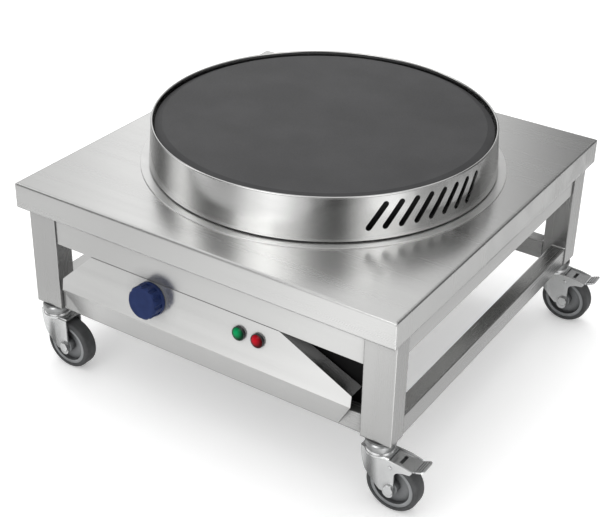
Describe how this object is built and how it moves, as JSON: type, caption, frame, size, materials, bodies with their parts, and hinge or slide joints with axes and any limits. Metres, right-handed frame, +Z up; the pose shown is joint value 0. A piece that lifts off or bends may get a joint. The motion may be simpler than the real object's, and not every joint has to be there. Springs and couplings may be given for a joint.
{
  "type": "electric saj griddle trolley",
  "caption": "Round flat griddle in a vented collar on a low square stainless table with a front control panel and swivel casters.",
  "frame": {"origin": "on the floor under the middle of the part's bounding box", "axes": "+Z up, control panel towards -Y, brake pedals towards +X"},
  "size_m": [0.859, 0.8104, 0.482],
  "materials": {
    "brushed_steel": "brushed stainless sheet and tube",
    "dark_plate": "dark seasoned steel, matte",
    "dark_pan": "heat-darkened sheet",
    "black_sheet": "matte black coated sheet",
    "element_sheath": "heat-darkened sheath",
    "fibre_board": "ceramic fibre board",
    "black_gasket": "matte heat-proof gasket",
    "pale_moulding": "moulded housing",
    "black_moulding": "black moulding",
    "green_lens": "clear tinted dome",
    "red_lens": "clear tinted dome",
    "navy_moulding": "satin moulding",
    "zinc_plate": "bright zinc plating",
    "grey_moulding": "grey wheel core",
    "grey_rubber": "grey rubber tread"
  },
  "bodies": {
    "frame": {"table_top": "brushed_steel", "leg_front_left": "brushed_steel", "leg_front_right": "brushed_steel", "leg_back_left": "brushed_steel", "leg_back_right": "brushed_steel", "channel_front": "brushed_steel", "channel_back": "brushed_steel", "channel_right": "brushed_steel", "channel_left": "brushed_steel", "rail_front": "brushed_steel", "rail_back": "brushed_steel", "rail_right": "brushed_steel", "rail_left": "brushed_steel", "base_flange": "brushed_steel", "base_gasket": "black_gasket", "saj_collar": "brushed_steel", "collar_screws_set": "zinc_plate", "burner_pan": "dark_pan", "insulation": "fibre_board", "element_tray": "brushed_steel", "element_outer": "element_sheath", "element_inner": "element_sheath", "saj_plate": "dark_plate", "wire_tube": "zinc_plate", "control_panel": "brushed_steel", "control_box": "brushed_steel", "blank_plate": "black_sheet", "thermostat": "pale_moulding", "lamp_body_green": "black_moulding", "lens_green": "green_lens", "lamp_body_red": "black_moulding", "lens_red": "red_lens", "terminal_block": "pale_moulding", "cable_gland": "black_moulding", "caster_head_fl": "zinc_plate", "caster_head_fr": "zinc_plate", "caster_head_bl": "zinc_plate", "caster_head_br": "zinc_plate"},
    "knob": {"knob": "navy_moulding", "thermostat_shaft": "zinc_plate"},
    "swivel_fl": {"fork_fl": "zinc_plate", "axle_fl": "zinc_plate"},
    "wheel_fl": {"wheel_core_fl": "grey_moulding", "tyre_fl": "grey_rubber"},
    "swivel_fr": {"fork_fr": "zinc_plate", "axle_fr": "zinc_plate"},
    "wheel_fr": {"wheel_core_fr": "grey_moulding", "tyre_fr": "grey_rubber"},
    "pedal_fr": {"brake_pedal_fr": "zinc_plate"},
    "swivel_bl": {"fork_bl": "zinc_plate", "axle_bl": "zinc_plate"},
    "wheel_bl": {"wheel_core_bl": "grey_moulding", "tyre_bl": "grey_rubber"},
    "swivel_br": {"fork_br": "zinc_plate", "axle_br": "zinc_plate"},
    "wheel_br": {"wheel_core_br": "grey_moulding", "tyre_br": "grey_rubber"},
    "pedal_br": {"brake_pedal_br": "zinc_plate"}
  },
  "joints": [
    {"name": "knob_turn", "type": "hinge", "parent": "frame", "child": "knob", "pos_m": [-0.1355, -0.37894, 0.243], "axis": [0, -0.9916, 0.1296], "range_deg": [-300, 0]},
    {"name": "swivel_fl_turn", "type": "hinge", "parent": "frame", "child": "swivel_fl", "pos_m": [-0.3915, -0.358, 0.105], "axis": [0, 0, 1], "continuous": true},
    {"name": "wheel_fl_roll", "type": "hinge", "parent": "swivel_fl", "child": "wheel_fl", "pos_m": [-0.3595, -0.358, 0.05], "axis": [0, 1, 0], "continuous": true},
    {"name": "swivel_fr_turn", "type": "hinge", "parent": "frame", "child": "swivel_fr", "pos_m": [0.3325, -0.358, 0.105], "axis": [0, 0, 1], "continuous": true},
    {"name": "wheel_fr_roll", "type": "hinge", "parent": "swivel_fr", "child": "wheel_fr", "pos_m": [0.3645, -0.358, 0.05], "axis": [0, 1, 0], "continuous": true},
    {"name": "pedal_fr_press", "type": "hinge", "parent": "swivel_fr", "child": "pedal_fr", "pos_m": [0.3635, -0.358, 0.095], "axis": [0, 1, 0], "range_deg": [0, 12]},
    {"name": "swivel_bl_turn", "type": "hinge", "parent": "frame", "child": "swivel_bl", "pos_m": [-0.3965, 0.353, 0.105], "axis": [0, 0, 1], "continuous": true},
    {"name": "wheel_bl_roll", "type": "hinge", "parent": "swivel_bl", "child": "wheel_bl", "pos_m": [-0.3645, 0.353, 0.05], "axis": [0, 1, 0], "continuous": true},
    {"name": "swivel_br_turn", "type": "hinge", "parent": "frame", "child": "swivel_br", "pos_m": [0.3375, 0.353, 0.105], "axis": [0, 0, 1], "continuous": true},
    {"name": "wheel_br_roll", "type": "hinge", "parent": "swivel_br", "child": "wheel_br", "pos_m": [0.3695, 0.353, 0.05], "axis": [0, 1, 0], "continuous": true},
    {"name": "pedal_br_press", "type": "hinge", "parent": "swivel_br", "child": "pedal_br", "pos_m": [0.3685, 0.353, 0.095], "axis": [0, 1, 0], "range_deg": [0, 12]}
  ]
}
